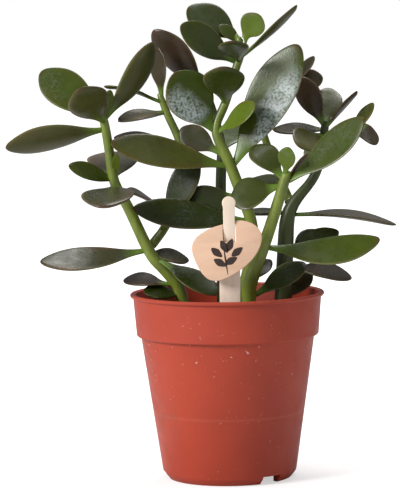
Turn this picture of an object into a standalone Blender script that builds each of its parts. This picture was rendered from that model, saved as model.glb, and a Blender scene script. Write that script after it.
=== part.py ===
"""Potted jade plant: a nursery pot of soil, branching fleshy stems, opposite thick leaves and a plant label.

Metres, +Z up. The origin lies on the ground under the middle of the plant's box, and -Y is the front.
Plant coordinates below are in millimetres from the pot's axis, so the pot stands a little off the origin.
"""

import math

import bmesh
import bpy
from mathutils import Matrix, Vector

MM = 0.001
GAP = 0.3                      # air between pieces that touch, in millimetres
POT_AXIS = Vector((10.4, -2.0, 0.0))  # the pot's axis from the origin: the crown leans out to the left

# Pot, radii and heights in millimetres
RIM_R, RIM_TOP = 45.0, 86.0
LIP_HEIGHT, BAND_TOP_R, BAND_FOOT_R, BAND_FOOT_Z = 1.6, 43.6, 42.2, 66.4
BODY_TOP_R, BODY_FOOT_R, FOOT_R, CHAMFER = 40.4, 30.9, 28.8, 2.6
WALL, FLOOR_Z, FOOT_RING = 1.3, 5.0, 2.6
NOTCH_WIDTH, NOTCH_HEIGHT, NOTCHES, FIRST_NOTCH = 10.0, 3.6, 3, math.radians(38)
DRAIN_R = 2.0
POT_SIDES, FIRST_CORNER = 48, 0.31  # the first corner is a part of a side round from the X axis
SOIL_Z, SOIL_CROWN = 71.0, 2.5

# Label: a flat stick pushed into the soil in front. Its neck leans forward through a notch in the tag.
STICK_WIDTH, STICK_THICK, STICK_Y, STICK_X, STICK_FOOT = 9.4, 1.4, -33.0, 1.0, 46.0
SHOULDER_Z, NECK_Z, NECK_END_Z, NECK_WIDTH = 102.0, 105.0, 119.0, 5.0
HEAD_RADIUS, STICK_TOP, NECK_LEAN = 3.1, 133.0, math.radians(8)
TAG_THICK, TAG_TILT, NOTCH_FLOOR_Z, TAG_STEPS = 1.4, math.radians(8), 112.4, 4
TAG_OUTLINE = (
    (-9.0, 117.8), (-4.0, 119.6), (1.0, 121.0), (6.0, 121.9), (10.0, 121.0), (13.0, 119.4), (15.2, 116.5),
    (15.6, 113.0), (14.2, 108.6), (11.0, 104.0), (6.0, 99.6), (0.0, 96.2), (-4.6, 94.8), (-8.6, 95.6),
    (-12.0, 99.0), (-14.6, 104.0), (-16.0, 109.5), (-14.2, 114.2),
)

# Stems: each row is (x, y, z, radius); a branch's first row is the point of its parent that it grows from.
STEMS = {
    "left_stem": (
        (-18, -6, 66, 3.0), (-21, -7, 84.5, 2.9), (-24, -8, 91.7, 2.8), (-30, -9, 99.3, 2.7), (-36, -10, 107, 2.7),
        (-44.8, -11, 127, 2.5), (-50.7, -12, 138, 2.4), (-52.7, -12, 151, 2.2), (-54.7, -12, 164.5, 2.1),
        (-55.6, -12, 168.5, 1.7)),
    "centre_stem": (
        (3, -5, 66, 3.0), (6, -6, 82.5, 3.0), (10, -8, 96.7, 2.9), (12, -9, 110.8, 2.8), (10.8, -10, 122, 2.7),
        (6.2, -9, 134.8, 2.7), (3.1, -8, 143.1, 2.6), (-0.3, -8, 151.4, 2.5), (-3.9, -7, 160, 2.2),
        (-2.6, -6, 167, 2.1), (1.2, -5, 175.5, 2.0), (5.2, -4, 188.5, 1.9), (8.0, -3, 196.5, 1.8),
        (7.3, -3, 202.5, 1.5)),
    "front_stem": (
        (9, -13, 66, 3.4), (9.6, -16, 83.4, 3.4), (10.7, -18, 92.6, 3.3), (16.5, -22, 108.5, 2.9),
        (22.5, -25, 126.2, 2.6), (27.2, -27, 141, 2.2)),
    "right_stem": (
        (25, 3, 66, 4.0), (26, 4, 81.6, 4.0), (27.6, 4, 107.6, 3.8), (29.7, 4, 123.2, 3.2), (36.8, 5, 132.6, 2.4),
        (42, 6, 140, 2.3), (45, 7, 150.4, 2.2), (46.8, 8, 162.3, 1.8)),
    "back_stem": (
        (-2, 14, 66, 2.8), (-2, 15, 100, 2.6), (-2, 15, 136.7, 2.5), (-1.3, 16, 150.5, 2.3), (-3.5, 18, 163, 2.1),
        (-6.5, 20, 173, 2.0), (-8.5, 21, 179, 1.7)),
    "left_branch": (
        (-36, -10, 107, 2.1), (-31, -3, 113, 2.1), (-27.5, 1, 118, 2.1), (-20, 7, 133.4, 2.1), (-18, 9, 144.2, 2.0),
        (-19.6, 10, 152, 2.0), (-23, 12, 161, 1.9), (-26.3, 13, 168, 1.8), (-29.4, 14, 176.5, 1.5)),
    "right_branch": (
        (29.7, 4, 123.2, 1.9), (29, 11, 130, 1.9), (24, 15, 141, 1.8), (20, 18, 153.4, 1.8), (18.5, 19, 161.5, 1.7),
        (23, 20, 171, 1.7), (30, 21, 179, 1.6), (35.5, 21, 184, 1.4)),
    "outer_branch": (
        (42, 6, 140, 1.7), (50, 4, 148, 1.7), (57, 2, 156, 1.6), (60, 1, 160, 1.4)),
}
BRANCH_OF = {"left_branch": "left_stem", "right_branch": "right_stem", "outer_branch": "right_stem"}

# Leaves: (name, stem, height on the stem, tip, width, where the upper side faces, arch)
LEAVES = (
    ("leaf_left_top_round", "left_stem", 167.5, (-84.3, 4, 189.5), 19, (0.2, -1, 0.3), 0),
    ("leaf_left_top_front", "left_stem", 166.0, (-65, -41, 182.5), 19, (-0.37, 0.53, 0.77), -1),
    ("leaf_left_top_right", "left_stem", 167.0, (-32, -5, 202), 13.5, (-0.5, 0.8, 0.28), -3),
    ("leaf_left_top_back", "left_stem", 165.5, (-60, 26, 177), 14, (0, -0.4, 0.9), 1),
    ("leaf_left_long", "left_stem", 163.0, (-100.2, -15, 155.2), 18.5, (0, 0.65, 0.75), 0.3),
    ("leaf_left_mid_back", "left_stem", 140.5, (-53, 26, 150.5), 24, (0, -0.3, 1), 0),
    ("leaf_left_mid_front", "left_stem", 137.0, (-55, -48, 130), 24, (0, 0, 1), 1),
    ("leaf_left_mid_right", "left_stem", 136.5, (-32.5, 6, 127.2), 13, (0.1, -0.4, 0.9), 1),
    ("leaf_left_low", "left_stem", 107.0, (-85.4, -18, 103), 18, (0, -0.5, 0.85), -1.5),
    ("leaf_left_low_front", "left_stem", 104.0, (-4, -24, 87.5), 14, (0.3, -0.6, 0.7), 0),
    ("leaf_left_rim", "left_stem", 90.5, (-48, -5, 92.7), 14, (0, -0.35, 0.95), 1),
    ("leaf_branch_up", "left_branch", 114.0, (-13, -4, 150), 14, (-0.3, -0.9, 0.2), 0),
    ("leaf_branch_long", "left_branch", 169.5, (-49.3, 6, 166.2), 10, (0, -0.45, 0.9), 1),
    ("leaf_branch_left", "left_branch", 152.5, (-51.5, 6, 158), 14, (0, -0.3, 0.95), 2),
    ("leaf_branch_top", "left_branch", 175.5, (-30.6, 11, 199.5), 12, (-0.7, -0.6, 0), 0),
    ("leaf_branch_thin", "left_branch", 174.0, (-55.5, 6, 182), 9, (0.2, 0.1, 1), 1.5),
    ("leaf_back_brown", "back_stem", 178.0, (-32.4, 19, 207.5), 17, (0.2, 0.8, 0.6), 0),
    ("leaf_back_left", "back_stem", 120.0, (-16, 52, 131), 17, (0, -0.3, 0.9), 1),
    ("leaf_back_right", "back_stem", 151.0, (14, 50, 163), 17, (0, -0.3, 0.9), 1),
    ("leaf_centre_long", "centre_stem", 144.5, (-52, -19, 157), 18, (0, -0.75, 0.65), 0),
    ("leaf_centre_low_left", "centre_stem", 119.5, (-42.5, -20, 127), 17, (0, -0.75, 0.66), -1),
    ("leaf_centre_dark", "centre_stem", 131.0, (-20, -2, 128), 14, (0, -1, 0.1), 0),
    ("leaf_centre_grey", "centre_stem", 149.0, (-20.5, 1, 162), 12, (-0.3, -0.8, 0.4), 0),
    ("leaf_centre_frosted", "centre_stem", 158.5, (-23, -14, 188), 23, (0.1, -0.95, 0.3), 0),
    ("leaf_centre_olive", "centre_stem", 160.0, (14.3, -21, 173.3), 12.5, (-0.35, -0.7, 0.62), 0.5),
    ("leaf_centre_big", "centre_stem", 143.5, (34.4, -10, 200), 22.5, (-0.3, -0.9, 0.3), 0),
    ("leaf_centre_round", "centre_stem", 173.5, (-0.5, -33, 191), 19, (0, 0.5, 0.85), 0),
    ("leaf_centre_back", "centre_stem", 174.0, (0, 28, 184), 15, (0, -0.4, 0.9), 1),
    ("leaf_top_left", "centre_stem", 202.5, (-15.8, 7, 218), 17.5, (0.3, -0.85, 0.4), 0),
    ("leaf_top_lower_left", "centre_stem", 192.0, (-19.5, -15, 209.5), 16, (0.3, -0.85, 0.4), 0),
    ("leaf_top_front", "centre_stem", 193.0, (3, -31, 202.3), 14, (0, 0.4, 0.9), 0),
    ("leaf_top_light", "centre_stem", 200.0, (16.7, -6, 214), 12.5, (-0.2, -0.95, 0.2), 0),
    ("leaf_top_edge", "centre_stem", 194.0, (34, -7, 218), 12, (-0.6, 0.25, 0.75), -1),
    ("leaf_front_low", "front_stem", 108.3, (69, -33, 112), 17, (0, -0.7, 0.7), -6),
    ("leaf_front_pot", "front_stem", 84.5, (36.2, -14, 100), 14.5, (-0.5, -0.6, 0.6), 0),
    ("leaf_front_left", "front_stem", 137.0, (2, -23, 130), 17, (0, -0.8, 0.6), 1),
    ("leaf_front_right", "front_stem", 136.5, (62, -35, 167), 17.5, (-0.35, -0.7, 0.6), -2),
    ("leaf_front_bud", "front_stem", 138.6, (28, -34, 154.5), 8.5, (-0.3, -0.9, 0.1), 0),
    ("leaf_front_back", "front_stem", 139.0, (12.8, -13, 154.3), 13.5, (0, -0.75, 0.65), 2),
    ("leaf_right_long", "right_stem", 121.5, (79.4, 6, 115.4), 17, (0, -0.12, 1), 2.5),
    ("leaf_right_rim", "right_stem", 97.0, (58.3, 5, 91), 17, (0, -0.35, 0.93), 1),
    ("leaf_right_low", "right_stem", 101.0, (44, 16, 112.5), 11, (-0.2, -0.8, 0.5), 0),
    ("leaf_right_back", "right_stem", 139.0, (47, 40, 152), 15, (0, -0.3, 0.9), 1),
    ("leaf_right_brown", "right_stem", 161.0, (35, 10, 184.7), 12.5, (0.3, 0.9, 0.2), 0),
    ("leaf_right_olive", "right_stem", 162.0, (49.3, 24, 179), 14.5, (0, -0.6, 0.8), 0),
    ("leaf_right_edge", "right_stem", 161.0, (61.5, 2, 178), 12, (-0.65, 0.2, 0.75), 0),
    ("leaf_right_droop", "right_stem", 158.0, (33.5, -12, 153.5), 17, (0, -0.85, 0.5), 1),
    ("leaf_outer_brown", "outer_branch", 159.0, (71.5, 5, 156.2), 15, (0, -0.6, 0.8), 0),
)

LEAF_STATIONS = (0.0, 0.10, 0.28, 0.46, 0.64, 0.80, 0.93)
LEAF_SIDES = 8
PETIOLE_R = 1.25
LEAF_THICKNESS = 0.15          # of the leaf's width
UPPER_SHARE, CUP = 0.36, 0.10  # the upper side is flatter, and its margins curl up
STEM_SIDES = 10

COLOURS = {
    "terracotta": (0.60, 0.22, 0.13), "soil": (0.045, 0.028, 0.018), "stem": (0.30, 0.40, 0.10),
    "leaf": (0.09, 0.16, 0.04), "pale_wood": (0.90, 0.75, 0.60), "tag_wood": (0.80, 0.56, 0.40),
}
ROUGHNESS = {"terracotta": 0.5, "soil": 0.95, "stem": 0.45, "leaf": 0.35, "pale_wood": 0.7, "tag_wood": 0.7}


def clear_scene():
    for found in list(bpy.data.objects):
        bpy.data.objects.remove(found, do_unlink=True)


def finish_of(name, finish):
    """A Principled material of this piece's own."""
    material = bpy.data.materials.new(name)
    material.use_nodes = True
    shader = material.node_tree.nodes["Principled BSDF"]
    shader.inputs["Base Color"].default_value = (*COLOURS[finish], 1.0)
    shader.inputs["Roughness"].default_value = ROUGHNESS[finish]
    shader.inputs["Metallic"].default_value = 0.0
    return material


def add_piece(name, mesh_builder, finish):
    """Links a finished bmesh, drawn in millimetres round the pot's axis, as a named object in metres."""
    bmesh.ops.recalc_face_normals(mesh_builder, faces=mesh_builder.faces)
    bmesh.ops.scale(mesh_builder, vec=(MM, MM, MM), verts=mesh_builder.verts)
    mesh = bpy.data.meshes.new(name)
    mesh_builder.to_mesh(mesh)
    mesh_builder.free()
    mesh.shade_smooth()
    mesh.materials.append(finish_of(name, finish))
    piece = bpy.data.objects.new(name, mesh)
    piece.location = POT_AXIS * MM
    bpy.context.collection.objects.link(piece)
    return piece


def join_rings(mesh_builder, rings, first_pole, last_pole):
    """Faces between successive closed rings, with a fan to a pole at each end."""
    rows = [[mesh_builder.verts.new(point) for point in ring] for ring in rings]
    count = len(rows[0])
    for row, following in zip(rows, rows[1:]):
        for i in range(count):
            j = (i + 1) % count
            mesh_builder.faces.new((row[i], row[j], following[j], following[i]))
    start, end = mesh_builder.verts.new(first_pole), mesh_builder.verts.new(last_pole)
    for i in range(count):
        j = (i + 1) % count
        mesh_builder.faces.new((start, rows[0][j], rows[0][i]))
        mesh_builder.faces.new((end, rows[-1][i], rows[-1][j]))


def stem_at(stem, height):
    """The middle of a stem at a height above the ground."""
    rows = [Vector(row[:3]) for row in STEMS[stem]]
    for low, high in zip(rows, rows[1:]):
        if low.z <= height <= high.z:
            return low.lerp(high, (height - low.z) / (high.z - low.z))
    return rows[-1]


def clearance(stem, point):
    """Distance from a point to a stem's bark."""
    rows = [(Vector(row[:3]), row[3]) for row in STEMS[stem]]
    nearest = math.inf
    for (low, low_r), (high, high_r) in zip(rows, rows[1:]):
        run = high - low
        share = min(max((point - low).dot(run) / run.length_squared, 0.0), 1.0)
        nearest = min(nearest, (point - low - run * share).length - low_r - (high_r - low_r) * share)
    return nearest


def seat_on(stem, joint, heading, end_radius):
    """Where a round end of this radius, heading away from a point inside a stem, starts just clear of its bark."""
    across = heading.orthogonal().normalized()
    beside = heading.cross(across)
    rim = [across * math.cos(math.pi * k / 4) + beside * math.sin(math.pi * k / 4) for k in range(8)]
    away = 0.5
    while min(clearance(stem, joint + heading * away + r * end_radius) for r in rim) < GAP:
        away += 0.05
    return joint + heading * away


def stem_mesh(name):
    rows = [(Vector(row[:3]), row[3]) for row in STEMS[name]]
    if name in BRANCH_OF:
        parent = BRANCH_OF[name]
        joint = stem_at(parent, rows[0][0].z)
        heading = (rows[1][0] - joint).normalized()
        rows[0] = (seat_on(parent, joint, heading, rows[0][1]), rows[0][1])
    points = [row[0] for row in rows]
    rings = []
    across = Vector((1, 0, 0))
    for i, (centre, radius) in enumerate(rows):
        heading = (points[min(i + 1, len(points) - 1)] - points[max(i - 1, 0)]).normalized()
        across = (across - heading * across.dot(heading)).normalized()
        beside = heading.cross(across)
        turns = [2 * math.pi * k / STEM_SIDES for k in range(STEM_SIDES)]
        rings.append([centre + across * radius * math.cos(t) + beside * radius * math.sin(t) for t in turns])
    start = points[0] - (points[1] - points[0]).normalized() * 0.05
    end = points[-1] + (points[-1] - points[-2]).normalized() * rows[-1][1]
    built = bmesh.new()
    join_rings(built, rings, start, end)
    return built


def leaf_half_width(share, width):
    """Half the leaf's width at a share of its length: a short stalk, then widest past the middle."""
    blade = 0.5 * width * math.sin(math.pi * share ** 1.35) ** 0.62 if share > 0 else 0.0
    return max(blade, PETIOLE_R)


def leaf_mesh(stem, height, tip, width, face, arch):
    joint = stem_at(stem, height)
    tip = Vector(tip)
    heading = (tip - joint).normalized()
    base = seat_on(stem, joint, heading, PETIOLE_R)
    upper = Vector(face)
    upper = (upper - heading * upper.dot(heading)).normalized()
    across = heading.cross(upper)
    length = (tip - base).length
    rings = []
    for share in LEAF_STATIONS:
        centre = base + heading * (length * share) + upper * (arch * 4 * share * (1 - share))
        half = leaf_half_width(share, width)
        thick = max(LEAF_THICKNESS * width * math.sqrt(half / (0.5 * width)), 1.7)
        curl = CUP * half * math.sin(math.pi * share)
        ring = []
        for k in range(LEAF_SIDES):
            turn = 2 * math.pi * k / LEAF_SIDES
            side, rise = math.cos(turn), math.sin(turn)
            depth = thick * (UPPER_SHARE if rise > 0 else 1 - UPPER_SHARE)
            ring.append(centre + across * half * side + upper * (depth * rise + curl * side * side))
        rings.append(ring)
    built = bmesh.new()
    join_rings(built, rings, base - heading * 0.05, tip)
    return built


def turned(profile, sides):
    """A closed profile of (radius, height) turned about the pot's axis."""
    built = bmesh.new()
    rows = []
    for turn in range(sides):
        angle = 2 * math.pi * (turn + FIRST_CORNER) / sides
        rows.append([built.verts.new((r * math.cos(angle), r * math.sin(angle), z)) for r, z in profile])
    for i in range(sides):
        row, following = rows[i], rows[(i + 1) % sides]
        for k in range(len(profile)):
            m = (k + 1) % len(profile)
            built.faces.new((row[k], following[k], following[m], row[m]))
    return built


def cutter_box(name, size, place, turn):
    built = bmesh.new()
    bmesh.ops.create_cube(built, size=1.0)
    bmesh.ops.scale(built, vec=size, verts=built.verts)
    bmesh.ops.translate(built, vec=place, verts=built.verts)
    bmesh.ops.rotate(built, cent=(0, 0, 0), matrix=Matrix.Rotation(turn, 3, "Z"), verts=built.verts)
    cutter = add_piece(name, built, "soil")
    cutter.hide_render = True
    cutter.display_type = "WIRE"
    return cutter


def cut_away(piece, cutter):
    cut = piece.modifiers.new(cutter.name, "BOOLEAN")
    cut.operation = "DIFFERENCE"
    cut.solver = "EXACT"
    cut.object = cutter


def inner_radius(height):
    """Inside radius of the pot's wall at a height."""
    share = (height - FLOOR_Z) / (BAND_FOOT_Z - FLOOR_Z)
    return BODY_FOOT_R - WALL + (BODY_TOP_R - BODY_FOOT_R) * share


def build_pot():
    profile = (
        (FOOT_R - FOOT_RING, 0.0), (FOOT_R, 0.0), (BODY_FOOT_R, CHAMFER), (BODY_TOP_R, BAND_FOOT_Z),
        (BAND_FOOT_R, BAND_FOOT_Z), (BAND_TOP_R, RIM_TOP - LIP_HEIGHT), (RIM_R - 0.4, RIM_TOP - LIP_HEIGHT),
        (RIM_R, RIM_TOP - LIP_HEIGHT / 2), (RIM_R - 0.5, RIM_TOP), (BAND_TOP_R - WALL, RIM_TOP),
        (BAND_FOOT_R - WALL, BAND_FOOT_Z), (BODY_TOP_R - WALL, BAND_FOOT_Z - WALL),
        (BODY_FOOT_R - WALL, FLOOR_Z), (DRAIN_R, FLOOR_Z), (DRAIN_R, FLOOR_Z - WALL),
        (FOOT_R - FOOT_RING, FLOOR_Z - WALL),
    )
    pot = add_piece("pot", turned(profile, POT_SIDES), "terracotta")
    for k in range(NOTCHES):
        size = (NOTCH_WIDTH, 12.0, NOTCH_HEIGHT + 2.0)
        place = (0.0, -FOOT_R, (NOTCH_HEIGHT - 2.0) / 2)
        turn = FIRST_NOTCH + 2 * math.pi * k / NOTCHES
        cut_away(pot, cutter_box(f"foot_notch_cutter_{k + 1}", size, place, turn))
    return pot


def build_soil():
    top = inner_radius(BAND_FOOT_Z) - GAP
    rings = []
    levels = (
        (inner_radius(FLOOR_Z) - GAP - 0.4, FLOOR_Z + GAP), (top - 0.3, BAND_FOOT_Z - WALL - 0.6),
        (top + 1.0, SOIL_Z - 0.8), (top - 4.0, SOIL_Z), (top - 18.0, SOIL_Z + SOIL_CROWN * 0.6),
    )
    for radius, height in levels:
        turns = [2 * math.pi * k / 36 for k in range(36)]
        rings.append([Vector((radius * math.cos(t), radius * math.sin(t), height)) for t in turns])
    built = bmesh.new()
    join_rings(built, rings, Vector((0, 0, FLOOR_Z + GAP + 0.02)), Vector((0, 0, SOIL_Z + SOIL_CROWN)))
    soil = add_piece("soil", built, "soil")
    depth = 40.0
    size = (STICK_WIDTH + 2 * GAP, STICK_THICK + 2 * GAP, depth)
    place = (STICK_X, STICK_Y + STICK_THICK / 2, STICK_FOOT - GAP + depth / 2)
    cut_away(soil, cutter_box("stick_slot_cutter", size, place, 0.0))
    return soil


def prism(outline, low_y, thick):
    """An (x, z) outline given a thickness along Y."""
    built = bmesh.new()
    front = [built.verts.new((x, low_y, z)) for x, z in outline]
    back = [built.verts.new((x, low_y + thick, z)) for x, z in outline]
    built.faces.new(front)
    built.faces.new(list(reversed(back)))
    for i in range(len(outline)):
        j = (i + 1) % len(outline)
        built.faces.new((front[j], front[i], back[i], back[j]))
    return built


def smooth_outline(corners, steps):
    """A closed curve through the corners, in short straight runs."""
    curve = []
    for i in range(len(corners)):
        before, start, end, after = (Vector(corners[(i + k) % len(corners)]) for k in (-1, 0, 1, 2))
        for j in range(steps):
            t = j / steps
            curve.append(0.5 * (
                2 * start + (end - before) * t + (2 * before - 5 * start + 4 * end - after) * t ** 2
                + (3 * start - before - 3 * end + after) * t ** 3))
    return [tuple(point) for point in curve]


def neck_shift(height):
    """How far forward the leaning neck stands at a height."""
    return math.tan(NECK_LEAN) * max(height - SHOULDER_Z, 0.0)


def stick_mesh():
    head_z = STICK_TOP - HEAD_RADIUS
    rows = [(STICK_FOOT, STICK_WIDTH / 2), (SHOULDER_Z, STICK_WIDTH / 2), (NECK_Z, NECK_WIDTH / 2)]
    rows += [(NECK_END_Z, NECK_WIDTH / 2)]
    for degrees in range(-30, 76, 15):
        turn = math.radians(degrees)
        rows.append((head_z + HEAD_RADIUS * math.sin(turn), HEAD_RADIUS * math.cos(turn)))
    rings = []
    for height, half in rows:
        front = STICK_Y - neck_shift(height)
        back = front + STICK_THICK
        rings.append([
            Vector((STICK_X + x, y, height))
            for x, y in ((-half, front), (half, front), (half, back), (-half, back))])
    middle = STICK_Y + STICK_THICK / 2
    built = bmesh.new()
    foot = Vector((STICK_X, middle, STICK_FOOT))
    top = Vector((STICK_X, middle - neck_shift(STICK_TOP), STICK_TOP))
    join_rings(built, rings, foot, top)
    return built


def build_label():
    add_piece("label_stick", stick_mesh(), "pale_wood")
    tag_back = STICK_Y - neck_shift(NOTCH_FLOOR_Z) - GAP
    board = prism(smooth_outline(TAG_OUTLINE, TAG_STEPS), tag_back - TAG_THICK, TAG_THICK)
    tilt = Matrix.Rotation(-TAG_TILT, 3, "X")
    bmesh.ops.rotate(board, cent=(0.0, tag_back, NOTCH_FLOOR_Z), matrix=tilt, verts=board.verts)
    tag = add_piece("label_tag", board, "tag_wood")
    depth, height = 8.0, 16.0
    size = (NECK_WIDTH + 2 * GAP, depth, height)
    place = (STICK_X, tag_back, NOTCH_FLOOR_Z + height / 2)
    cut_away(tag, cutter_box("tag_notch_cutter", size, place, 0.0))


def root_holes(soil):
    """The soil is pierced where stems stand in it, with a thin gap round each."""
    for name in ("left_stem", "centre_stem", "front_stem", "right_stem", "back_stem"):
        foot, radius = Vector(STEMS[name][0][:3]), STEMS[name][0][3]
        following = Vector(STEMS[name][1][:3])
        heading = (following - foot).normalized()
        built = bmesh.new()
        turns = [2 * math.pi * k / 12 for k in range(12)]
        across = (Vector((1, 0, 0)) - heading * heading.x).normalized()
        beside = heading.cross(across)
        rings = []
        for step in (-GAP - 0.2, 12.0):
            centre, wide = foot + heading * step, radius + GAP + 0.15
            rings.append([centre + across * wide * math.cos(t) + beside * wide * math.sin(t) for t in turns])
        join_rings(built, rings, foot - heading * (GAP + 0.4), foot + heading * 12.5)
        cutter = add_piece(f"root_hole_cutter_{name}", built, "soil")
        cutter.hide_render = True
        cutter.display_type = "WIRE"
        cut_away(soil, cutter)


def main():
    clear_scene()
    build_pot()
    root_holes(build_soil())
    build_label()
    for name in STEMS:
        add_piece(name, stem_mesh(name), "stem")
    for name, stem, height, tip, width, face, arch in LEAVES:
        add_piece(name, leaf_mesh(stem, height, tip, width, face, arch), "leaf")


main()
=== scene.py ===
import math
import random

import bmesh
import bpy
from mathutils import Matrix, Vector


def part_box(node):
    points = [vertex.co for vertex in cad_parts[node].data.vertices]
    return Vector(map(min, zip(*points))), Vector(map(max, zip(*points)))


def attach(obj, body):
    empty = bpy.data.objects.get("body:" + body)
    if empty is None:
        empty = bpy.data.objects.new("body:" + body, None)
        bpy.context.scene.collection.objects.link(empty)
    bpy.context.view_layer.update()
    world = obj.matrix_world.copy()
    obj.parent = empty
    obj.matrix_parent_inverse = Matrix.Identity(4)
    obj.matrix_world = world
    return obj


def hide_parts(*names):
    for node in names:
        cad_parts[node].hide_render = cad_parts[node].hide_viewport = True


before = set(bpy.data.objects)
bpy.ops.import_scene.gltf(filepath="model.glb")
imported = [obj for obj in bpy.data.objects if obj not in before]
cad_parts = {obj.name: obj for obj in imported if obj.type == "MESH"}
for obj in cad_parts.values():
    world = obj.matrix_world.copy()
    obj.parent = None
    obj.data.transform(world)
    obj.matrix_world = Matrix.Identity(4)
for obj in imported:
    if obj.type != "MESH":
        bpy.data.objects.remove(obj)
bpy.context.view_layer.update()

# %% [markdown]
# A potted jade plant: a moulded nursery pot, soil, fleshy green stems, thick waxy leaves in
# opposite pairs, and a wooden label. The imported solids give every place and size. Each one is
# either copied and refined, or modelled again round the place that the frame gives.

MM = 0.001
POT_LOW, POT_HIGH = (Vector(corner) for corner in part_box("pot"))
AXIS = Vector(((POT_LOW.x + POT_HIGH.x) / 2, (POT_LOW.y + POT_HIGH.y) / 2, 0.0))
print("pot axis", tuple(round(v, 4) for v in AXIS), "rim height", round(POT_HIGH.z, 4))

# %% [markdown]
# Operators act on whatever is selected, so a helper clears the selection first. Another one gives a
# finished piece its finish and its body and, where it stands for a solid, hides that solid.

# %% Helpers for selecting and for handing a piece to the frame


def select_only(piece):
    if bpy.context.object and bpy.context.object.mode != "OBJECT":
        bpy.ops.object.mode_set(mode="OBJECT")
    bpy.ops.object.select_all(action="DESELECT")
    piece.select_set(True)
    bpy.context.view_layer.objects.active = piece


def hand_over(piece, material, replaced=()):
    piece.data.materials.clear()
    piece.data.materials.append(material)
    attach(piece, "root")
    if replaced:
        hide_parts(*replaced)


def settle(piece):
    """Puts a piece's place into its mesh."""
    select_only(piece)
    bpy.ops.object.transform_apply(location=True, rotation=True, scale=True)


bpy.ops.object.select_all(action="DESELECT")
print(len(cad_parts), "packed solids")

# %% [markdown]
# Materials are small node trees. This helper makes nodes and links them in one line each, so
# that every finish below reads as a recipe.

# %% A short way to write a node tree


class Recipe:
    """A material with its Principled shader, and short ways to add nodes."""

    def __init__(self, name, roughness, coat=0.0, coat_roughness=0.2):
        self.material = bpy.data.materials.new(name)
        self.material.use_nodes = True
        self.tree = self.material.node_tree
        self.shader = self.tree.nodes["Principled BSDF"]
        self.shader.inputs["Roughness"].default_value = roughness
        self.shader.inputs["Coat Weight"].default_value = coat
        self.shader.inputs["Coat Roughness"].default_value = coat_roughness
        self.place = self.node("ShaderNodeTexCoord").outputs["Object"]

    def node(self, kind, **settings):
        made = self.tree.nodes.new(kind)
        for key, value in settings.items():
            setattr(made, key, value)
        return made

    def join(self, source, target):
        self.tree.links.new(source, target)

    def noise(self, scale, detail=3.0, stretch=None):
        made = self.node("ShaderNodeTexNoise")
        made.inputs["Scale"].default_value = scale
        made.inputs["Detail"].default_value = detail
        place = self.place
        if stretch:
            mapping = self.node("ShaderNodeMapping")
            mapping.inputs["Scale"].default_value = stretch
            self.join(place, mapping.inputs["Vector"])
            place = mapping.outputs["Vector"]
        self.join(place, made.inputs["Vector"])
        return made.outputs["Fac"]

    def attribute(self, name):
        return self.node("ShaderNodeAttribute", attribute_name=name).outputs["Fac"]

    def ramp(self, source, *stops):
        """A number through black and white stops: (position, value)."""
        made = self.node("ShaderNodeValToRGB")
        elements = made.color_ramp.elements
        while len(elements) < len(stops):
            elements.new(0.5)
        for element, (position, value) in zip(elements, stops):
            element.position = position
            element.color = (value, value, value, 1.0)
        self.join(source, made.inputs["Fac"])
        return made.outputs["Color"]

    def multiply(self, a, b):
        made = self.node("ShaderNodeMath", operation="MULTIPLY")
        for value, socket in ((a, made.inputs[0]), (b, made.inputs[1])):
            if isinstance(value, float):
                socket.default_value = value
            else:
                self.join(value, socket)
        return made.outputs["Value"]

    def mix(self, share, a, b):
        made = self.node("ShaderNodeMix", data_type="RGBA")
        self.join(share, made.inputs["Factor"])
        for value, socket in ((a, made.inputs["A"]), (b, made.inputs["B"])):
            if isinstance(value, tuple):
                socket.default_value = (*value, 1.0)
            else:
                self.join(value, socket)
        return made.outputs["Result"]

    def height(self):
        split = self.node("ShaderNodeSeparateXYZ")
        self.join(self.place, split.inputs["Vector"])
        return split.outputs["Z"]

    def near(self, point, reach):
        """One at a point, falling to nothing at a distance from it."""
        away = self.node("ShaderNodeVectorMath", operation="DISTANCE")
        self.join(self.place, away.inputs[0])
        away.inputs[1].default_value = point
        fall = self.node("ShaderNodeMapRange")
        fall.inputs["From Max"].default_value = reach
        fall.inputs["To Min"].default_value = 1.0
        fall.inputs["To Max"].default_value = 0.0
        self.join(away.outputs["Value"], fall.inputs["Value"])
        return fall.outputs["Result"]

    def paint(self, colour):
        self.join(colour, self.shader.inputs["Base Color"])

    def roughen(self, value):
        self.join(value, self.shader.inputs["Roughness"])

    def bump(self, height, strength, distance):
        made = self.node("ShaderNodeBump")
        made.inputs["Strength"].default_value = strength
        made.inputs["Distance"].default_value = distance
        self.join(height, made.inputs["Height"])
        self.join(made.outputs["Normal"], self.shader.inputs["Normal"])


# %% [markdown]
# The leaf skin is waxy: a green upper side with pale frosted breath marks, a duller underside, and a thin
# margin that turns pale, then reddish brown towards the tip. The pale margin is partly a painted rim
# highlight. Two leaves also carry a painted highlight: a pale grainy band over one half of the upper side,
# in the frost colour. Which side and how near the margin a point lies is stored on each leaf's mesh, so
# the pattern follows the leaf. Each tint gives the colour of the upper side, then of the underside.

# %% Leaf finishes, one for each tint the leaves have, and two with a painted highlight band

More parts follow.
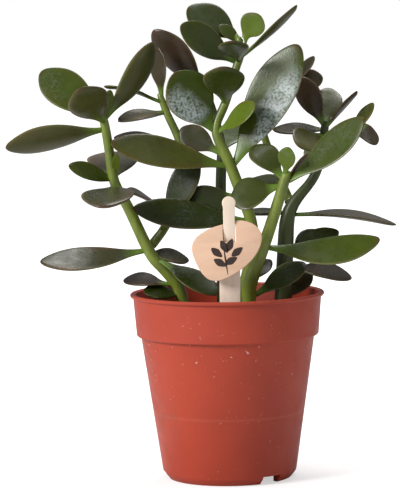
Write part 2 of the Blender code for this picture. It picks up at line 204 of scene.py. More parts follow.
LEAF_TINTS = {
    "green": ((0.046, 0.067, 0.005), (0.044, 0.059, 0.008)),
    "light": ((0.100, 0.150, 0.010), (0.106, 0.143, 0.018)),
    "deep": ((0.022, 0.034, 0.003), (0.028, 0.036, 0.006)),
    "olive": ((0.062, 0.071, 0.009), (0.074, 0.076, 0.018)),
    "pale": ((0.130, 0.130, 0.080), (0.150, 0.140, 0.095)),
    "grey": ((0.052, 0.052, 0.022), (0.112, 0.100, 0.072)),
    "brown": ((0.042, 0.032, 0.012), (0.050, 0.031, 0.017)),
    "worn": ((0.062, 0.056, 0.030), (0.070, 0.058, 0.030)),
}
MARGIN_RED = (0.085, 0.022, 0.012)
MARGIN_PALE_AND_HIGHLIGHT = (0.260, 0.270, 0.110)
FROST_AND_HIGHLIGHT = (0.420, 0.480, 0.470)
STALK_GREEN = (0.120, 0.200, 0.025)
GRAINS, HIGHLIGHT_GRAINS = ((0.45, 0.0), (0.62, 0.6)), ((0.36, 0.10), (0.56, 0.95))
HIGHLIGHT_ALONG = ((0.12, 0.0), (0.26, 1.0), (0.66, 0.9), (0.88, 0.0))


def leaf_finish(name, tint, painted_highlight=()):
    upper, under = LEAF_TINTS[tint]
    skin = Recipe("leaf_skin_" + name, roughness=0.36)
    skin.shader.inputs["Specular IOR Level"].default_value = 0.33
    side = skin.ramp(skin.attribute("upper"), (0.35, 0.0), (0.65, 1.0))
    colour = skin.mix(side, under, upper)
    shade = tuple(0.60 * v for v in upper)
    colour = skin.mix(skin.ramp(skin.noise(110, 4), (0.35, 0.0), (0.75, 0.6)), colour, shade)
    warm = tuple(min(v * w, 1.0) for v, w in zip(under, (1.7, 0.95, 0.9)))
    blush = skin.multiply(skin.ramp(skin.attribute("edge"), (0.45, 0.0), (1.0, 0.55)),
                          skin.ramp(skin.noise(45, 2), (0.42, 0.0), (0.62, 1.0)))
    colour = skin.mix(blush, colour, warm)
    # On the two leaves that have one, a painted highlight: a pale grainy band over one half of the blade.
    if painted_highlight:
        share = skin.node("ShaderNodeMath", operation="ADD")
        skin.join(skin.attribute("across"), share.inputs[0])
        skin.join(skin.multiply(skin.noise(70, 2), 0.5), share.inputs[1])
        lengthwise = skin.ramp(skin.attribute("along"), *HIGHLIGHT_ALONG)
        patch = skin.multiply(skin.ramp(share.outputs["Value"], *painted_highlight), lengthwise)
    else:
        patch = skin.ramp(skin.noise(55, 2), (0.52, 0.0), (0.74, 0.22))
    grains = skin.ramp(skin.noise(900, 4), *(HIGHLIGHT_GRAINS if painted_highlight else GRAINS))
    frost_and_highlight = skin.multiply(skin.multiply(grains, patch), side)
    # Pale frost bloom, and on those two leaves the painted highlight, laid on the upper side only.
    colour = skin.mix(frost_and_highlight, colour, FROST_AND_HIGHLIGHT)
    edge, along = skin.attribute("edge"), skin.attribute("along")
    # The pale margin line is partly the margin's own colour and partly a painted rim highlight.
    rim = skin.ramp(edge, (0.88, 0.0), (0.97, 0.45))
    colour = skin.mix(rim, colour, MARGIN_PALE_AND_HIGHLIGHT)
    towards_tip = skin.ramp(along, (0.30, 0.0), (0.9, 1.0))
    red = skin.multiply(skin.ramp(edge, (0.90, 0.0), (0.99, 0.8)), towards_tip)
    colour = skin.mix(red, colour, MARGIN_RED)
    colour = skin.mix(skin.ramp(along, (0.93, 0.0), (1.0, 0.55)), colour, MARGIN_RED)
    colour = skin.mix(skin.ramp(along, (0.03, 0.85), (0.20, 0.0)), colour, STALK_GREEN)
    skin.paint(colour)
    skin.roughen(skin.ramp(skin.noise(260, 3), (0.3, 0.24), (0.8, 0.38)))
    skin.bump(skin.noise(1100, 3), 0.16 if painted_highlight else 0.07, 0.0003)
    return skin.material


LEAF_SKINS = {tint: leaf_finish(tint, tint) for tint in LEAF_TINTS}
# Two green leaves carry a painted highlight band, each on one half of the blade.
LEAF_SKINS["painted_highlight_right"] = leaf_finish("painted_highlight_right", "green", painted_highlight=((0.62, 1.0), (0.80, 0.0)))
LEAF_SKINS["painted_highlight_left"] = leaf_finish("painted_highlight_left", "green", painted_highlight=((0.66, 0.0), (0.84, 1.0)))
print("leaf tints:", ", ".join(LEAF_SKINS))

# %% [markdown]
# Leaves that aren't named here are plain green. The lower and outer leaves are the brown, grey
# and worn ones.

# %% Which leaf has which tint

TINT_OF = {
    "leaf_centre_frosted": "painted_highlight_left", "leaf_centre_big": "painted_highlight_right", "leaf_branch_long": "pale",
    "leaf_left_top_front": "olive",
    "leaf_left_long": "olive", "leaf_left_top_right": "olive", "leaf_left_low": "grey",
    "leaf_left_mid_back": "grey", "leaf_left_mid_front": "grey", "leaf_left_mid_right": "grey",
    "leaf_left_rim": "brown", "leaf_branch_left": "brown", "leaf_branch_top": "brown",
    "leaf_branch_thin": "olive", "leaf_back_brown": "brown", "leaf_centre_grey": "grey",
    "leaf_centre_low_left": "deep", "leaf_centre_dark": "deep", "leaf_branch_up": "deep",
    "leaf_centre_long": "olive", "leaf_centre_olive": "light", "leaf_top_light": "light",
    "leaf_top_left": "deep", "leaf_top_lower_left": "green", "leaf_top_front": "green",
    "leaf_centre_round": "green", "leaf_top_edge": "olive", "leaf_front_bud": "light",
    "leaf_front_pot": "deep", "leaf_right_rim": "brown", "leaf_right_low": "deep",
    "leaf_right_brown": "brown", "leaf_right_olive": "olive", "leaf_right_edge": "brown",
    "leaf_right_droop": "olive", "leaf_outer_brown": "brown", "leaf_left_low_front": "deep",
    "leaf_right_long": "worn",
}
print(len(TINT_OF), "leaves with a tint of their own")

# %% [markdown]
# A leaf's solid is a loose bag of triangles. A merged copy shows its grid of ribs again, and a
# subdivision surface over that grid gives the full, smooth blade. The stalk's end is drawn a
# little into the stem, as the real leaf grows out of it.

# %% Reading a leaf's own directions, and making its smooth skin

STALK_INTO_STEM, STALK_SHARE = 2.4 * MM, 0.03
QUAD_ANGLE = math.radians(60)
FIT_PASSES, FIT_PULL = 4, 0.8
SLICES = 24
STEM_NODES = [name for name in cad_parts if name.endswith(("_stem", "_branch"))]


def merged_copy(node, name):
    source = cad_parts[node]
    piece = bpy.data.objects.new(name, source.data.copy())
    bpy.context.scene.collection.objects.link(piece)
    select_only(piece)
    bpy.ops.object.mode_set(mode="EDIT")
    bpy.ops.mesh.select_all(action="SELECT")
    bpy.ops.mesh.remove_doubles(threshold=1e-5)
    bpy.ops.mesh.tris_convert_to_quads(face_threshold=QUAD_ANGLE, shape_threshold=QUAD_ANGLE)
    bpy.ops.object.mode_set(mode="OBJECT")
    return piece


BARK = [v.co.copy() for name in STEM_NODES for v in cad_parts[name].data.vertices]


def smooth_to_size(piece, levels):
    """A subdivision surface that runs through its own first corners, so the piece keeps its size."""
    swell = piece.modifiers.new("skin", "SUBSURF")
    swell.levels = swell.render_levels = levels
    corners = [v.co.copy() for v in piece.data.vertices]
    for _ in range(FIT_PASSES):
        seen = piece.evaluated_get(bpy.context.evaluated_depsgraph_get()).data
        drawn_in = [corner - seen.vertices[i].co for i, corner in enumerate(corners)]
        for v, step in zip(piece.data.vertices, drawn_in):
            v.co += step * FIT_PULL
        piece.data.update()
    select_only(piece)
    bpy.ops.object.modifier_apply(modifier=swell.name)
    bpy.ops.object.shade_smooth()
    piece.data.update()


def leaf_axes(piece):
    """Stalk end, direction, across, upper side and half width of a leaf, measured on its mesh."""
    points = [v.co.copy() for v in piece.data.vertices]
    first = max(points, key=lambda p: (p - points[0]).length)
    second = max(points, key=lambda p: (p - first).length)
    gaps = [min((end - b).length for b in BARK) for end in (first, second)]
    stalk, tip = (first, second) if gaps[0] < gaps[1] else (second, first)
    along = (tip - stalk).normalized()
    offsets = [(p - stalk) - along * (p - stalk).dot(along) for p in points]
    across = max(offsets, key=lambda o: o.length).normalized()
    upper = along.cross(across)
    half = max(abs(o.dot(across)) for o in offsets)
    margin = [o.dot(upper) for o in offsets if abs(o.dot(across)) > 0.85 * half]
    middle = [o.dot(upper) for o in offsets if abs(o.dot(across)) < 0.3 * half and o.length > 0.05 * half]
    if sum(middle) / len(middle) > sum(margin) / len(margin):
        upper, across = -upper, -across
    return stalk, along, across, upper, half, (tip - stalk).length


def store(piece, name, values):
    layer = piece.data.attributes.new(name, "FLOAT", "POINT")
    layer.data.foreach_set("value", values)


def finish_leaf(piece):
    stalk, along, across, upper, half, length = leaf_axes(piece)
    for v in piece.data.vertices:
        if (v.co - stalk).dot(along) < STALK_SHARE * length:
            v.co -= along * STALK_INTO_STEM
    smooth_to_size(piece, 3)
    shares = [min(max((v.co - stalk).dot(along) / length, 0.0), 1.0) for v in piece.data.vertices]
    widths = {}
    for v, share in zip(piece.data.vertices, shares):
        reach = abs((v.co - stalk).dot(across))
        slice_here = round(share * SLICES)
        widths[slice_here] = max(widths.get(slice_here, 0.0), reach)
    store(piece, "along", shares)
    store(piece, "upper", [0.5 + 0.5 * v.normal.dot(upper) for v in piece.data.vertices])
    store(piece, "across", [
        0.5 + 0.5 * (v.co - stalk).dot(across) / half for v in piece.data.vertices])
    store(piece, "edge", [
        abs((v.co - stalk).dot(across)) / max(widths[round(share * SLICES)], 1e-5)
        for v, share in zip(piece.data.vertices, shares)])
    return stalk, along, across, upper, half, length


print(len(STEM_NODES), "stems carry the leaves")

# %% [markdown]
# Every leaf is made in the same way and stands for its own solid. Its directions are kept,
# because the smallest leaves are copies of one of these.

# %% All the leaves

LEAF_FRAMES = {}
for leaf in sorted(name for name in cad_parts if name.startswith("leaf_")):
    skin = merged_copy(leaf, leaf + "_skin")
    LEAF_FRAMES[leaf] = (skin, finish_leaf(skin))
    hand_over(skin, LEAF_SKINS[TINT_OF.get(leaf, "green")], (leaf,))
print(len(LEAF_FRAMES), "leaves")

# %% [markdown]
# Jade stems are juicy and green. The right and back stems get a darker copy of the finish as painted
# shade. The stems are smoothed in the same way as the leaves.

# %% Stem finish and stems


def stem_finish(name, bright, dark):
    skin = Recipe(name, roughness=0.42, coat=0.15, coat_roughness=0.3)
    colour = skin.mix(skin.ramp(skin.noise(90, 3), (0.35, 0.0), (0.7, 1.0)), bright, dark)
    streak = skin.ramp(skin.noise(420, 3, (1.0, 1.0, 0.12)), (0.45, 0.0), (0.8, 0.5))
    skin.paint(skin.mix(streak, colour, (0.105, 0.120, 0.035)))
    skin.bump(skin.noise(600, 3, (1.0, 1.0, 0.2)), 0.25, 0.0003)
    return skin.material


STEM_SKINS = {
    "young": stem_finish("stem_skin_young", (0.200, 0.260, 0.028), (0.105, 0.140, 0.016)),
    # A darker copy of the same finish: painted shade.
    "painted_shade": stem_finish("stem_skin_painted_shade", (0.050, 0.070, 0.013), (0.030, 0.044, 0.009)),
}
for stem in STEM_NODES:
    skin = merged_copy(stem, stem + "_skin")
    smooth_to_size(skin, 2)
    # The right and back stems take the darker copy, which is painted shade.
    stem_shading = "painted_shade" if stem in ("right_stem", "back_stem") else "young"
    hand_over(skin, STEM_SKINS[stem_shading], (stem,))
print(len(STEM_NODES), "stems")

# %% [markdown]
# The pot is injection moulded: a thin wall with a rolled lip, a band below it, a step where the
# band meets the tapered body, and a foot ring with notches for draining. A profile spun round
# the axis gives all of it, and the notches are cut out of the foot. The profile is given as
# radius and height in metres, from the drain hole out, up and back down the inside.

# %% The pot's profile, spun round its axis

PROFILE = (
    (0.0022, 0.0037), (0.0262, 0.0037), (0.0262, 0.0000), (0.0286, 0.0000), (0.0290, 0.0004),
    (0.0308, 0.0026), (0.0311, 0.0034), (0.0402, 0.0658), (0.0404, 0.0664), (0.0418, 0.0664),
    (0.0422, 0.0668), (0.0436, 0.0840), (0.0440, 0.0844), (0.0447, 0.0845), (0.0450, 0.0850),
    (0.0450, 0.0855), (0.0446, 0.0860), (0.0430, 0.0860), (0.0424, 0.0856), (0.0409, 0.0666),
    (0.0391, 0.0652), (0.0296, 0.0056), (0.0290, 0.0050), (0.0022, 0.0050),
)
POT_STEPS = 180


def spun(name, profile, steps):
    mesh = bpy.data.meshes.new(name)
    count = len(profile)
    points = [AXIS + Vector((r, 0.0, z)) for r, z in profile]
    mesh.from_pydata(points, [(i, (i + 1) % count) for i in range(count)], [])
    piece = bpy.data.objects.new(name, mesh)
    bpy.context.scene.collection.objects.link(piece)
    select_only(piece)
    bpy.ops.object.mode_set(mode="EDIT")
    bpy.ops.mesh.select_all(action="SELECT")
    bpy.ops.mesh.spin(steps=steps, angle=2 * math.pi, center=AXIS, axis=(0, 0, 1))
    bpy.ops.mesh.select_all(action="SELECT")
    bpy.ops.mesh.remove_doubles(threshold=1e-6)
    bpy.ops.mesh.normals_make_consistent(inside=False)
    bpy.ops.object.mode_set(mode="OBJECT")
    return piece


pot = spun("nursery_pot", PROFILE, POT_STEPS)
print("pot profile of", len(PROFILE), "corners")

# %% [markdown]
# Three notches of the foot are cut with boxes. The body then gets smooth shading, except where
# two faces meet at a real corner.

# %% Foot notches

NOTCHES, NOTCH_SIZE = 3, (0.010, 0.012, 0.0072)
FOOT_R, FIRST_NOTCH, CORNER_ANGLE = 0.0288, math.radians(38), math.radians(35)
for k in range(NOTCHES):
    turn = FIRST_NOTCH + 2 * math.pi * k / NOTCHES
    place = AXIS + Matrix.Rotation(turn, 3, "Z") @ Vector((0, -FOOT_R, 0))
    bpy.ops.mesh.primitive_cube_add(size=1.0, location=place, rotation=(0, 0, turn), scale=NOTCH_SIZE)
    cutter = bpy.context.object
    cut = pot.modifiers.new("notch", "BOOLEAN")
    cut.object = cutter
    cut.solver = "EXACT"
    select_only(pot)
    bpy.ops.object.modifier_apply(modifier=cut.name)
    bpy.data.objects.remove(cutter, do_unlink=True)
select_only(pot)
bpy.ops.object.shade_smooth_by_angle(angle=CORNER_ANGLE)
print("pot faces", len(pot.data.polygons))

# %% [markdown]
# The plastic is terracotta red, a little scuffed, with pale dust mostly just under the band, a
# faint mould seam low on the body and a grey smudge at the left. A ramp runs from 0 to 1, so
# heights in it are in units of 100 mm.

# %% Pot finish

POT_LIGHT, POT_DARK, POT_SCUFF = (0.45, 0.054, 0.024), (0.38, 0.044, 0.020), (0.56, 0.15, 0.09)
POT_SEAM, POT_DUST, POT_SMUDGE = (0.60, 0.16, 0.10), (0.75, 0.66, 0.58), (0.22, 0.07, 0.05)
SEAM_HEIGHTS = ((0.302, 0.0), (0.310, 0.22), (0.318, 0.0))
DUST_HEIGHTS = ((0.38, 0.15), (0.60, 1.0), (0.662, 1.0), (0.67, 0.3))
SMUDGE_PLACE, SMUDGE_REACH = (AXIS.x - 0.029, AXIS.y - 0.019, 0.030), 0.013
PER_100_MM = 10.0


def pot_finish():
    plastic = Recipe("terracotta_plastic", roughness=0.42)
    plastic.shader.inputs["Specular IOR Level"].default_value = 0.40
    base = plastic.mix(plastic.ramp(plastic.noise(25, 3), (0.4, 0.0), (0.7, 1.0)), POT_LIGHT, POT_DARK)
    scuff = plastic.ramp(plastic.noise(140, 5, (1, 1, 6)), (0.66, 0.0), (0.8, 0.25))
    base = plastic.mix(scuff, base, POT_SCUFF)
    dust = plastic.ramp(plastic.noise(620, 2), (0.69, 0.0), (0.73, 0.9))
    dust = plastic.multiply(dust, plastic.ramp(plastic.noise(60, 2), (0.44, 0.0), (0.58, 1.0)))
    rise = plastic.multiply(plastic.height(), PER_100_MM)
    base = plastic.mix(plastic.ramp(rise, *SEAM_HEIGHTS), base, POT_SEAM)
    dusty = plastic.ramp(rise, *DUST_HEIGHTS)
    smudge = plastic.multiply(plastic.near(SMUDGE_PLACE, SMUDGE_REACH),
                              plastic.ramp(plastic.noise(260, 4), (0.42, 0.0), (0.62, 0.55)))
    base = plastic.mix(smudge, base, POT_SMUDGE)
    plastic.paint(plastic.mix(plastic.multiply(dust, dusty), base, POT_DUST))
    plastic.roughen(plastic.ramp(plastic.noise(120, 4), (0.3, 0.36), (0.7, 0.52)))
    plastic.bump(plastic.noise(900, 3), 0.08, 0.0002)
    return plastic.material


hand_over(pot, pot_finish(), ("pot",))
print("pot finish:", pot.data.materials[0].name)

# %% [markdown]
# Soil is crumbs on crumbs: a lumpy surface for the bed, and a few hundred loose grains of a few
# faces each on top. One grain is modelled, then copied with its own turn and size.

# %% The soil bed and its crumbs

WET_SOIL, DRY_SOIL = (0.018, 0.011, 0.007), (0.060, 0.036, 0.022)
CRUMBS, CRUMBS_REACH, SOIL_CROWN = 420, 0.0375, 0.0028


def soil_finish():
    earth = Recipe("potting_soil", roughness=0.92)
    dryness = earth.ramp(earth.noise(500, 5), (0.35, 0.0), (0.7, 1.0))
    earth.paint(earth.mix(dryness, WET_SOIL, DRY_SOIL))
    earth.bump(earth.noise(800, 6), 0.7, 0.001)
    return earth.material


SOIL = soil_finish()
bed = merged_copy("soil", "soil_bed")
hand_over(bed, SOIL, ("soil",))
SOIL_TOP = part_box("soil")[1][2]
random.seed(7)
bpy.ops.object.select_all(action="DESELECT")
bpy.ops.mesh.primitive_ico_sphere_add(subdivisions=1, radius=1.0, location=(0, 0, 0))
grain = bpy.context.object
crumbs = bmesh.new()
for _ in range(CRUMBS):
    turn, reach = random.uniform(0, 2 * math.pi), CRUMBS_REACH * math.sqrt(random.random())
    size = random.uniform(0.5, 1.5) * MM
    level = SOIL_TOP - SOIL_CROWN * (reach / CRUMBS_REACH) ** 2
    spot = AXIS + Vector((reach * math.cos(turn), reach * math.sin(turn), level))
    turned_grain = Matrix.Rotation(random.uniform(0, 6), 4, (random.random(), random.random(), 1))
    shape = Matrix.Diagonal((size, size * random.uniform(0.6, 1.2), size * 0.7, 1))
    before = len(crumbs.verts)
    crumbs.from_mesh(grain.data)
    crumbs.verts.ensure_lookup_table()
    laid = Matrix.Translation(spot) @ turned_grain @ shape
    bmesh.ops.transform(crumbs, matrix=laid, verts=crumbs.verts[before:])
bpy.data.objects.remove(grain, do_unlink=True)
crumb_mesh = bpy.data.meshes.new("soil_crumbs")
crumbs.to_mesh(crumb_mesh)
crumbs.free()
soil_crumbs = bpy.data.objects.new("soil_crumbs", crumb_mesh)
bpy.context.scene.collection.objects.link(soil_crumbs)
hand_over(soil_crumbs, SOIL)
print(CRUMBS, "crumbs on the soil, top at", round(SOIL_TOP, 4))

# %% [markdown]
# The label is two pieces of thin wood. Their sawn edges are slightly rounded, the stick has a
# fine straight grain, and the tag carries a plain printed sprig in dark brown.

# %% Label stick and tag

STICK_PALE, STICK_DARK, UPRIGHT_GRAIN = (0.92, 0.77, 0.63), (0.85, 0.68, 0.53), (1, 1, 0.04)
TAG_PALE, TAG_DARK, LEVEL_GRAIN = (0.80, 0.53, 0.37), (0.72, 0.45, 0.30), (0.25, 1, 1)
SAWN_EDGE = 0.3 * MM


def wood_finish(name, pale, dark, stretch):
    wood = Recipe(name, roughness=0.62)
    grain_lines = wood.ramp(wood.noise(380, 4, stretch), (0.35, 0.0), (0.75, 0.8))
    colour = wood.mix(grain_lines, pale, dark)
    flecks = wood.ramp(wood.noise(1500, 2), (0.66, 0.0), (0.76, 0.5))
    wood.paint(wood.mix(flecks, colour, tuple(0.72 * v for v in dark)))
    wood.bump(wood.noise(420, 4, stretch), 0.2, 0.0002)
    return wood.material


def rounded(node, name, width):
    piece = merged_copy(node, name)
    select_only(piece)
    bpy.ops.object.mode_set(mode="EDIT")
    bpy.ops.mesh.select_all(action="SELECT")
    bpy.ops.mesh.dissolve_limited(angle_limit=math.radians(2))
    bpy.ops.object.mode_set(mode="OBJECT")
    soften = piece.modifiers.new("soften", "BEVEL")
    soften.width = width
    soften.segments = 3
    soften.limit_method = "ANGLE"
    bpy.ops.object.modifier_apply(modifier=soften.name)
    bpy.ops.object.shade_smooth_by_angle(angle=math.radians(40))
    return piece


stick = rounded("label_stick", "plant_label_stick", SAWN_EDGE)
pale_wood = wood_finish("pale_wood", STICK_PALE, STICK_DARK, UPRIGHT_GRAIN)
hand_over(stick, pale_wood, ("label_stick",))
tag = rounded("label_tag", "plant_label_tag", SAWN_EDGE)
tag_wood = wood_finish("tag_wood", TAG_PALE, TAG_DARK, LEVEL_GRAIN)
hand_over(tag, tag_wood, ("label_tag",))
print("label finishes:", pale_wood.name, "and", tag_wood.name)

# %% [markdown]
# The print is a plain sprig of leaves on a stalk: thin flat shapes that lie on the tag's front.
# The tag leans back, so its largest forward face gives the lean and the print's own plane.

# %% A printed sprig on the tag

DARK_INK, WORN_INK = (0.032, 0.016, 0.012), (0.055, 0.030, 0.022)
ink = Recipe("label_print", roughness=0.55)
ink.paint(ink.mix(ink.ramp(ink.noise(900, 3), (0.4, 0.0), (0.7, 1.0)), DARK_INK, WORN_INK))
TAG_LOW, TAG_HIGH = (Vector(corner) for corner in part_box("label_tag"))
TAG_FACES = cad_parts["label_tag"].data.polygons
FRONT = max((f for f in TAG_FACES if f.normal.y < -0.9), key=lambda f: f.area)
TAG_TILT = math.atan2(FRONT.normal.z, -FRONT.normal.y)
PRINT_PLACE = Vector(((TAG_LOW.x + TAG_HIGH.x) / 2, FRONT.center.y, FRONT.center.z))
DOWN_TAG = Vector((0, -math.sin(TAG_TILT), -math.cos(TAG_TILT)))
PRINT_HEIGHT, PRINT_DEPTH = 105.4 * MM, 0.12 * MM
PRINT_PLACE += DOWN_TAG * (FRONT.center.z - PRINT_HEIGHT) / math.cos(TAG_TILT)
BLADE_LENGTH, BLADE_WIDTH = 6.2 * MM, 3.0 * MM
print("tag leans back by", round(math.degrees(TAG_TILT), 1), "degrees")


def printed_leaf(name, x, z, length, width, turn):
    """A flat leaf shape, drawn upright round the origin and then laid on the tag's front face."""
    bpy.ops.object.select_all(action="DESELECT")
    bpy.ops.mesh.primitive_cylinder_add(
        vertices=32, radius=0.5, depth=PRINT_DEPTH, end_fill_type="TRIFAN",
        location=(0, 0, 0), rotation=(math.radians(90), 0, 0))
    shape = bpy.context.object
    shape.name = name
    settle(shape)
    for v in shape.data.vertices:
        share = v.co.x + 0.5
        v.co.z *= width * (1.15 - 0.9 * abs(share - 0.45))
        v.co.x *= length
    flat = Matrix.Translation((x, 0, z)) @ Matrix.Rotation(turn, 4, "Y")
    shape.data.transform(Matrix.Translation(PRINT_PLACE) @ Matrix.Rotation(-TAG_TILT, 4, "X") @ flat)
    return shape


SPRIG = (
    (-4.6, 2.4, 40), (-1.2, 5.0, 62), (4.6, 2.6, -38), (1.8, -1.4, -28), (-3.2, -2.2, 30), (1.3, 5.6, -66),
)
for number, (x, z, turn) in enumerate(SPRIG):
    blade = printed_leaf(
        f"printed_leaf_{number + 1}", x * MM, z * MM, BLADE_LENGTH, BLADE_WIDTH, math.radians(turn))
    hand_over(blade, ink.material)
stalk_line = printed_leaf("printed_stalk", -0.6 * MM, -1.5 * MM, 13.0 * MM, 0.7 * MM, math.radians(82))
hand_over(stalk_line, ink.material)
print(len(SPRIG), "printed leaves and their stalk")

# %% [markdown]
# Small leaves and buds fill the shoots. Each is a finished leaf copied with its own mesh, then
# laid along its own line. A row gives its stem, its height on that stem in millimetres, the run
# from there to its tip, its width, the way its upper side faces, and its tint.

# %% Small leaves on the shoots


def stem_middle(node, height):
    """The middle of a stem's cut at a height, measured on its solid."""
    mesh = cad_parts[node].data
    hits = []
    for edge in mesh.edges:
        low, high = sorted((mesh.vertices[i].co for i in edge.vertices), key=lambda p: p.z)
        if low.z <= height < high.z:
            hits.append(low.lerp(high, (height - low.z) / (high.z - low.z)))
    return sum(hits, Vector()) / len(hits)


SMALL_LEAVES = (
    ("left_stem", 166, (3.0, -5.0, 15.0), 8, (-0.5, 0.8, 0.2), "light"),
    ("left_stem", 139, (-20.5, -8.0, 8.0), 10.5, (0, -0.8, 0.6), "green"),
    ("left_stem", 140, (1.5, -4.0, 12.0), 4, (0, -1, 0.2), "light"),
    ("left_stem", 106, (18.0, 8.0, -4.5), 12, (0, -0.4, 0.9), "grey"),
    ("left_stem", 86, (-17.0, -6.0, 2.0), 12, (0, -0.6, 0.8), "deep"),
    ("left_branch", 169, (-23.0, -2.0, -3.5), 7, (0, 0.3, 0.95), "olive"),
    ("centre_stem", 201, (-9.0, 1.0, 8.5), 8, (0.3, -0.8, 0.5), "green"),
    ("centre_stem", 92, (12.0, 9.0, 8.5), 9, (0, -0.5, 0.8), "brown"),
    ("front_stem", 138, (-15.0, 14.0, 1.0), 11, (0, -0.6, 0.8), "deep"),
    ("front_stem", 138, (11.5, 11.0, 12.0), 12, (0, 0.6, 0.8), "brown"),
    ("right_stem", 122, (-22.0, 3.0, 0.5), 11, (0, -0.3, 0.95), "deep"),
    ("right_stem", 104, (25.0, -2.0, 9.0), 11, (-0.2, -0.8, 0.5), "deep"),
    ("right_stem", 83, (14.0, 9.0, 9.5), 9, (-0.3, -0.8, 0.4), "brown"),
    ("right_stem", 160, (-24.0, 4.0, 0.5), 12, (0, -0.5, 0.85), "brown"),
    ("right_branch", 182, (9.5, -1.0, 12.0), 7, (-0.6, -0.5, 0.5), "grey"),
    ("right_branch", 182, (13.5, 2.0, 2.0), 11, (0, -0.7, 0.6), "brown"),
    ("outer_branch", 158, (10.5, 1.0, 14.5), 8, (-0.6, -0.5, 0.5), "olive"),
)
SMALL_PLUMPNESS = 1.5
MASTER, (m_stalk, m_along, m_across, m_upper, m_half, m_length) = LEAF_FRAMES["leaf_centre_big"]
FROM_MASTER = Matrix((m_along, m_across, m_upper)).to_4x4() @ Matrix.Translation(-m_stalk)
for number, (stem, height, reach, width, face, tint) in enumerate(SMALL_LEAVES):
    start = stem_middle(stem, height * MM)
    run = Vector(reach) * MM
    heading = run.normalized()
    upper = Vector(face)
    upper = (upper - heading * upper.dot(heading)).normalized()
    turn = Matrix((heading, upper.cross(heading), upper)).transposed().to_4x4()
    broad = width * MM / (2 * m_half)
    size = Matrix.Diagonal((run.length / m_length, broad, broad * SMALL_PLUMPNESS, 1))
    small = bpy.data.objects.new(f"small_leaf_{number + 1}", MASTER.data.copy())
    bpy.context.scene.collection.objects.link(small)
    small.data.transform(Matrix.Translation(start) @ turn @ size @ FROM_MASTER)
    hand_over(small, LEAF_SKINS[tint])
print(len(SMALL_LEAVES), "small leaves")

# %% [markdown]
# The floor and the surround are white to the camera, and to any ray that passes through a
# piece, while they light the plant only softly. Glossy rays meet the soft surround too: nothing
# here is metal or glass, and a white one would lay a grey veil over the waxy leaves. Near the
# plant the floor's own glow is weaker, so its shadow shows.

# %% Floor and surround

FLOOR_SIZE, FLOOR_DROP, FLOOR_GREY = 12.0, 0.2 * MM, 0.62
NEAR, FAR, NEAR_GLOW, FULL_GLOW = 0.08, 0.75, 0.55, 1.0
SOFT_LIGHT, WHITE = 0.30, 1.0

bpy.ops.object.select_all(action="DESELECT")
bpy.ops.mesh.primitive_plane_add(size=FLOOR_SIZE, location=(0, 0, -FLOOR_DROP))
floor = bpy.context.object
floor.name = "floor"
settle(floor)
pale = Recipe("floor_white", roughness=0.9)
pale.shader.inputs["Base Color"].default_value = (FLOOR_GREY, FLOOR_GREY, FLOOR_GREY, 1.0)
pale.shader.inputs["Specular IOR Level"].default_value = 0.1
glow = pale.node("ShaderNodeEmission")
seen = pale.node("ShaderNodeMath", operation="MAXIMUM")
path = pale.node("ShaderNodeLightPath")
pale.join(path.outputs["Is Camera Ray"], seen.inputs[0])
pale.join(path.outputs["Is Transmission Ray"], seen.inputs[1])
reach = pale.node("ShaderNodeVectorMath", operation="LENGTH")
pale.join(pale.place, reach.inputs[0])
fade = pale.node("ShaderNodeMapRange")
for socket, value in (("From Min", NEAR), ("From Max", FAR), ("To Min", NEAR_GLOW), ("To Max", FULL_GLOW)):
    fade.inputs[socket].default_value = value
pale.join(reach.outputs["Value"], fade.inputs["Value"])
pale.join(pale.multiply(fade.outputs["Result"], seen.outputs["Value"]), glow.inputs["Strength"])
both = pale.node("ShaderNodeAddShader")
pale.join(pale.shader.outputs["BSDF"], both.inputs[0])
pale.join(glow.outputs["Emission"], both.inputs[1])
pale.join(both.outputs["Shader"], pale.tree.nodes["Material Output"].inputs["Surface"])
floor.data.materials.append(pale.material)

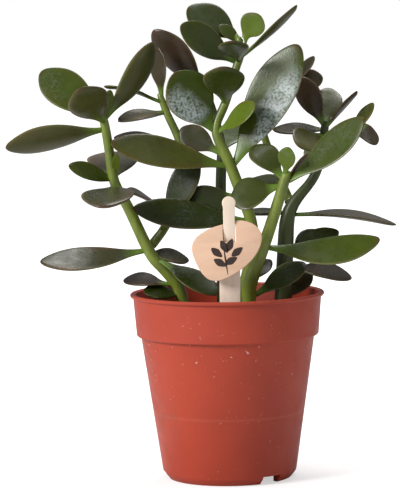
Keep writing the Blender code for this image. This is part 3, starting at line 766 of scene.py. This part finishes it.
world = bpy.data.worlds.new("surround")
bpy.context.scene.world = world
world.use_nodes = True
tree = world.node_tree
rays = tree.nodes.new("ShaderNodeLightPath")
direct = tree.nodes.new("ShaderNodeMath")
direct.operation = "MAXIMUM"
tree.links.new(rays.outputs["Is Camera Ray"], direct.inputs[0])
tree.links.new(rays.outputs["Is Transmission Ray"], direct.inputs[1])
strength = tree.nodes.new("ShaderNodeMapRange")
strength.inputs["To Min"].default_value = SOFT_LIGHT
strength.inputs["To Max"].default_value = WHITE
tree.links.new(direct.outputs["Value"], strength.inputs["Value"])
tree.links.new(strength.outputs["Result"], tree.nodes["Background"].inputs["Strength"])
tree.nodes["Background"].inputs["Color"].default_value = (1, 1, 1, 1)
print("floor and surround are in place")

# %% [markdown]
# A soft key lamp at the left front, a weaker one above, and a very weak fill at the right.

# %% Lamps

LAMPS = (
    ("key_left", (-1.15, -0.75, 0.80), 0.55, 24.0),
    ("top", (0.1, 0.3, 1.2), 0.5, 8.0),
    ("fill_right", (1.2, -0.7, 0.5), 0.6, 1.0),
)
AIM = Vector((0, 0, 0.12))


def lamp(name, place, size, watts):
    data = bpy.data.lights.new(name, "AREA")
    data.size = size
    data.energy = watts
    made = bpy.data.objects.new(name, data)
    bpy.context.scene.collection.objects.link(made)
    made.location = Vector(place)
    made.rotation_euler = (AIM - made.location).to_track_quat("-Z", "Y").to_euler()


for name, place, size, watts in LAMPS:
    lamp(name, place, size, watts)
print(len(LAMPS), "lamps")

# %% [markdown]
# The camera stands a little above the pot's rim, 1.2 m in front, and is turned by about one
# degree. Its place is given from the pot's axis.

# %% Camera

CAMERA_SIDE, CAMERA_BACK, CAMERA_HEIGHT, AIM_HEIGHT = -0.0122, -1.2, 0.215, 0.1085
CAMERA_ROLL, CAMERA_LENS = math.radians(-0.957), 191.9
eye = AXIS + Vector((CAMERA_SIDE, CAMERA_BACK, CAMERA_HEIGHT))
look = (AXIS + Vector((CAMERA_SIDE, 0, AIM_HEIGHT)) - eye).normalized()
right = look.cross(Vector((0, 0, 1))).normalized()
up = right.cross(look)
rolled_right = right * math.cos(CAMERA_ROLL) + up * math.sin(CAMERA_ROLL)
rolled_up = up * math.cos(CAMERA_ROLL) - right * math.sin(CAMERA_ROLL)
camera_data = bpy.data.cameras.new("camera")
camera_data.lens = CAMERA_LENS
camera_data.sensor_width = 36.0
camera = bpy.data.objects.new("camera", camera_data)
bpy.context.scene.collection.objects.link(camera)
facing = Matrix((rolled_right, rolled_up, -look)).transposed().to_4x4()
camera.matrix_world = Matrix.Translation(eye) @ facing
bpy.context.scene.camera = camera
bpy.context.scene.view_settings.view_transform = "Standard"
print("camera at", tuple(round(v, 3) for v in eye))
